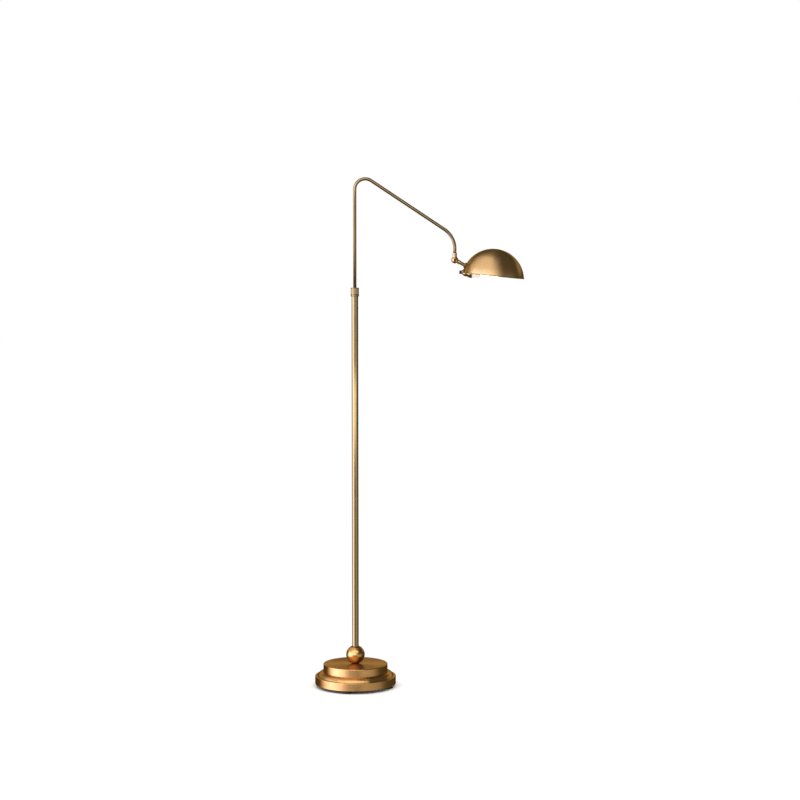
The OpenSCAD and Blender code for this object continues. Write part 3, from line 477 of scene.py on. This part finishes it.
# Name: colour, roughness, metallic share, then the grain's waves in a metre, its depth and the tone's
# unevenness where they aren't the usual ones
PLAIN_FINISH = {
    "dark_brass": ((0.10, 0.055, 0.022), 0.42, 1.0, 500.0),
    "bare_brass": ((0.75, 0.50, 0.21), 0.25, 1.0, 700.0),
    "cast_iron": ((0.05, 0.05, 0.052), 0.75, 0.6, 500.0, 0.0004),
    "black_paint": ((0.02, 0.02, 0.02), 0.5, 0.0, 900.0),
    "black_rubber": ((0.012, 0.012, 0.012), 0.7, 0.0, 700.0),
    "zinc_steel": ((0.56, 0.56, 0.54), 0.3, 1.0, 900.0),
    "bush_steel": ((0.42, 0.42, 0.41), 0.28, 1.0, 900.0),
    "white_nylon": ((0.78, 0.77, 0.70), 0.45),
    "terminal_plastic": ((0.82, 0.82, 0.78), 0.25),
    "lead_sheath": ((0.75, 0.71, 0.58), 0.45),
    "friction_fibre": ((0.05, 0.035, 0.025), 0.8, 0.0, 1500.0, 0.0001),
    "porcelain": ((0.93, 0.89, 0.80), 0.12, 0.0, 120.0, 0.00003, 0.05),
    "cap_metal": ((0.70, 0.70, 0.69), 0.3, 1.0, 700.0),
    "cap_solder": ((0.45, 0.45, 0.43), 0.45, 1.0, 400.0, 0.0002),
    "black_plastic": ((0.010, 0.009, 0.008), 0.35, 0.0, 900.0),
}
MATERIALS = {name: plain(name, *look) for name, look in PLAIN_FINISH.items()}
MATERIALS["lit_glass"] = lit_glass()

ORIGIN = Vector((0, 0, 0))
UP = (0, 0, 1)
# Name, tones, a point on the brushing's axis, its direction, roughness and share of brushing, then
# the lines' depth and the wear where they aren't the usual ones
BRASS_FINISH = {
    "base_cover": brushed_brass("base_brass", GOLD, ORIGIN, UP, 0.26, 0.8, 0.1, 1.0),
    "base_ball": brushed_brass("ball_brass", GOLD, ORIGIN, UP, 0.18, 0.4),
    # The pole and the collar take the khaki tones, painted darker as painted shade
    "lower_pole": brushed_brass("pole_brass", KHAKI_PAINTED_SHADE, ORIGIN, UP, 0.18, 0.2, 0.02, 0.3),
    "clutch_body": brushed_brass("clutch_brass", KHAKI_PAINTED_SHADE, ORIGIN, UP, 0.22, 0.4),
    # The arm tube takes the dark tones, painted darker as painted shade
    "arm_tube": drawn_brass("arm_brass", DARK_PAINTED_SHADE, 0.16, 0.0, 0.03, 0.4),
    "arm_ferrule": brushed_brass("ferrule_brass", STRAW, ARM_END_AT, UP, 0.24, 0.5),
    "knuckle_front": brushed_brass("knuckle_brass", STRAW, KNUCKLE_AT, (0, 1, 0), 0.2, 0.3),
    "knuckle_nut": brushed_brass("nut_brass", STRAW, KNUCKLE_AT, (0, 1, 0), 0.22, 0.3),
    # The neck takes the dark tones, painted darker as painted shade
    "neck_tube": brushed_brass("neck_brass", DARK_PAINTED_SHADE, KNUCKLE_AT, NECK_AXIS, 0.24, 0.6),
    "shade": brushed_brass("shade_brass", STRAW, HEAD_AT, SHADE_AXIS, 0.26, 0.8, 0.06, 0.6),
    "socket_cup": brushed_brass("cup_brass", STRAW, CUP_AT, (1, 0, 0), 0.26, 0.5),
}
for same, other in (("clutch_nut", "clutch_body"), ("knuckle_rear", "knuckle_front"),
                    ("saddle_washer", "neck_tube"), ("switch_ring_nut", "socket_cup")):
    BRASS_FINISH[same] = BRASS_FINISH[other]


def finish_nodes():
    """Every CAD node gets its own finish, or the one of its material slot."""
    for name, node in NODES.items():
        node.data.materials.clear()
        node.data.materials.append(BRASS_FINISH.get(name) or MATERIALS[SLOT_OF[name]])


# The shade's inside is enamelled, to halfway through its 1 mm wall
ENAMEL_RADIUS = 0.0885
ENAMEL_TONE = (0.90, 0.87, 0.78)


def enamel_shade():
    """The shade's inner faces, nearer to its centre than the wall's middle, become enamel."""
    shade = NODES["shade"].data
    enamel = plain("white_enamel", ENAMEL_TONE, 0.3, grain=500.0, depth=0.00003, uneven=0.03)
    shade.materials.append(enamel)
    for face in shade.polygons:
        if (face.center - HEAD_AT).length < ENAMEL_RADIUS:
            face.material_index = 1


# The arm's centre line: up the riser, over the top bend, down the slope, round the low bend. Its
# outer radius is 0.05 mm under the solid's, which has flat facets
ARM_FOOT_Z = 0.998717
ARM_TOP_Z = 1.433216
TOP_BEND_R = 0.030
LOW_BEND_R = 0.067
ARM_SLOPE = math.radians(33.5)
ARM_R = 0.0047
ARM_BORE_R = 0.00375
BEND_STEPS = 40
ROUND_STEPS = 64


def arm_path():
    """Points on the arm's centre line, each with its direction as an angle up from +X."""
    points = [(0, ARM_FOOT_Z, math.pi / 2)]
    for i in range(BEND_STEPS + 1):
        turn = math.pi / 2 - i / BEND_STEPS * (math.pi / 2 + ARM_SLOPE)
        x = TOP_BEND_R * (1 - math.sin(turn))
        points.append((x, ARM_TOP_Z + TOP_BEND_R * math.cos(turn), turn))
    low_x = ARM_END_AT.x - LOW_BEND_R
    slope_x = low_x + LOW_BEND_R * math.sin(ARM_SLOPE) - points[-1][0]
    low_z = points[-1][1] - slope_x * math.tan(ARM_SLOPE) - LOW_BEND_R * math.cos(ARM_SLOPE)
    for i in range(BEND_STEPS + 1):
        turn = -ARM_SLOPE - i / BEND_STEPS * (math.pi / 2 - ARM_SLOPE)
        x = low_x - LOW_BEND_R * math.sin(turn)
        points.append((x, low_z + LOW_BEND_R * math.cos(turn), turn))
    points.append((ARM_END_AT.x, ARM_END_AT.z, -math.pi / 2))
    return points


def swept(name, path, radius, bore, material):
    """A tube along a path in the XZ plane, with UVs in turns round it and metres along it."""
    lengths = [0.0]
    for (x0, z0, _), (x1, z1, _) in zip(path, path[1:]):
        lengths.append(lengths[-1] + math.hypot(x1 - x0, z1 - z0))
    # Out along the outside and back along the bore, so that the last ring closes on the first
    rings = [(radius, i) for i in range(len(path))]
    rings += [(bore, i) for i in reversed(range(len(path)))]
    points = []
    for ring_r, i in rings:
        x, z, turn = path[i]
        for k in range(ROUND_STEPS):
            angle = 2 * math.pi * k / ROUND_STEPS
            side = ring_r * math.cos(angle)
            y = ring_r * math.sin(angle)
            points.append((x - side * math.sin(turn), y, z + side * math.cos(turn)))
    faces = []
    wraps = []
    # A corner is its ring, its place round it, and how far round it is in the UVs, which don't wrap
    for j in range(len(rings)):
        after = (j + 1) % len(rings)
        for k in range(ROUND_STEPS):
            step = (k + 1) % ROUND_STEPS
            corners = ((j, k, k), (after, k, k), (after, step, k + 1), (j, step, k + 1))
            faces.append([ring * ROUND_STEPS + index for ring, index, _ in corners])
            wraps.extend((turned / ROUND_STEPS, lengths[rings[ring][1]]) for ring, _, turned in corners)
    mesh = bpy.data.meshes.new(name)
    mesh.from_pydata(points, [], faces)
    layer = mesh.uv_layers.new(name="along")
    for loop, wrap in zip(layer.data, wraps):
        loop.uv = wrap
    for face in mesh.polygons:
        flat = rings[face.vertices[0] // ROUND_STEPS][0] != rings[face.vertices[1] // ROUND_STEPS][0]
        face.use_smooth = not flat
    mesh.materials.append(material)
    piece = bpy.data.objects.new(name, mesh)
    bpy.context.scene.collection.objects.link(piece)
    return piece


def make_arm():
    """The riser and arm, one bent tube."""
    arm = swept("arm_tube_drawn", arm_path(), ARM_R, ARM_BORE_R, BRASS_FINISH["arm_tube"])
    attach(arm, "arm")
    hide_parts("arm_tube")


# The lead in the pole: its radii, its slack's sway to one side, its waves and the steps along it, and
# its end's clearance under the riser
STEM_TOP_Z = 0.136717
LEAD_R = 0.00315
LEAD_WIRE_R = 0.001
LEAD_SWAY = 0.0018
LEAD_WAVES = 7
LEAD_STEPS = 140
LEAD_GAP = 0.001


def lead_path():
    """Points on the lead's wavy centre line, each with its direction as an angle up from +X."""
    length = ARM_FOOT_Z - STEM_TOP_Z - LEAD_GAP
    swing = 2 * math.pi * LEAD_WAVES
    points = []
    for i in range(LEAD_STEPS + 1):
        t = i / LEAD_STEPS
        x = LEAD_SWAY * (1 - math.cos(swing * t)) / 2
        lean = LEAD_SWAY * swing * math.sin(swing * t) / 2 / length
        points.append((x, STEM_TOP_Z + length * t, math.pi / 2 - math.atan(lean)))
    return points


def make_lead():
    """The lead in the pole, a slack wavy tube that rides with the stand."""
    lead = swept("pole_lead_slack", lead_path(), LEAD_R, LEAD_WIRE_R, MATERIALS["lead_sheath"])
    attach(lead, "stand")
    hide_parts("pole_lead")
    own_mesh(lead)


bpy.context.scene.view_settings.view_transform = "Standard"
make_camera()
make_world()
make_floor()
make_lamps()
finish_nodes()
enamel_shade()
make_arm()
make_lead()
